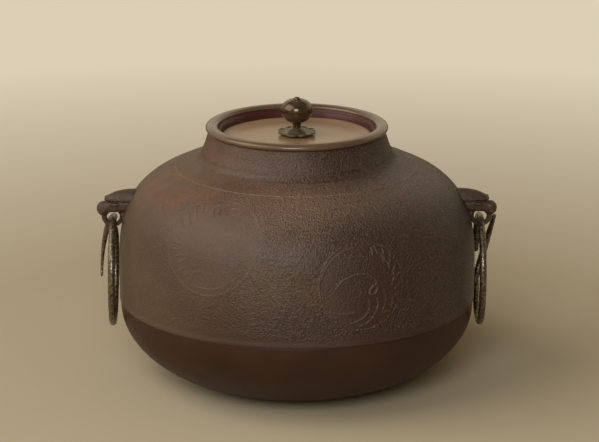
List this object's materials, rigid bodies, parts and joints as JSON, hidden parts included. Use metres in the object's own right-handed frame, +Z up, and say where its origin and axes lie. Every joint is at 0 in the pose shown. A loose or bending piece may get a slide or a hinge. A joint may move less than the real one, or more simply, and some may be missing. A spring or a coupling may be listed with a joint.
{
  "type": "tea kettle",
  "caption": "Chagama: round cast iron tea kettle with a joined bottom, a lift-off dished bronze lid with a ball knob, and head-shaped lugs that carry loose open rings.",
  "frame": {"origin": "middle of the flat base, on the surface that the kettle stands on", "axes": "+Z up along the kettle's axis, -Y towards the front, the two ring lugs on the X axis"},
  "size_m": [0.2782, 0.2454, 0.1973],
  "materials": {
    "upper_iron": "rough sand-cast skin with a brown patina",
    "bottom_iron": "smoother casting, brown lacquer baked on",
    "lacquer": "dark lacquer with iron filings",
    "lug_iron": "modelled cast iron, dark purple brown patina",
    "ring_iron": "forged wire, burnished",
    "lid_bronze": "polished, red brown patina",
    "knob_bronze": "polished, dull brown patina",
    "washer_bronze": "satin, grey green patina",
    "plate_iron": "rough cut sheet"
  },
  "bodies": {
    "kettle": {"upper_casting": "upper_iron", "bottom_casting": "bottom_iron", "seam_lacquer": "lacquer", "left_lug": "lug_iron", "right_lug": "lug_iron", "plate_lacquer": "lacquer", "sounding_plate_1": "plate_iron", "sounding_plate_2": "plate_iron", "sounding_plate_3": "plate_iron", "sounding_plate_4": "plate_iron", "sounding_plate_5": "plate_iron"},
    "lid": {"lid": "lid_bronze", "knob": "knob_bronze", "knob_pin": "knob_bronze", "knob_washer": "washer_bronze", "under_washer": "washer_bronze"},
    "left_ring": {"left_ring": "ring_iron"},
    "right_ring": {"right_ring": "ring_iron"}
  },
  "joints": [
    {"name": "lid_lift", "type": "slide", "parent": "kettle", "child": "lid", "axis": [0, 0, 1], "range_m": [0, 0.09]},
    {"name": "left_ring_swing", "type": "hinge", "parent": "kettle", "child": "left_ring", "pos_m": [-0.12609, 0, 0.11205], "axis": [0, 1, 0], "range_deg": [-2, 170]},
    {"name": "right_ring_swing", "type": "hinge", "parent": "kettle", "child": "right_ring", "pos_m": [0.12609, 0, 0.11205], "axis": [0, -1, 0], "range_deg": [-2, 130]}
  ]
}
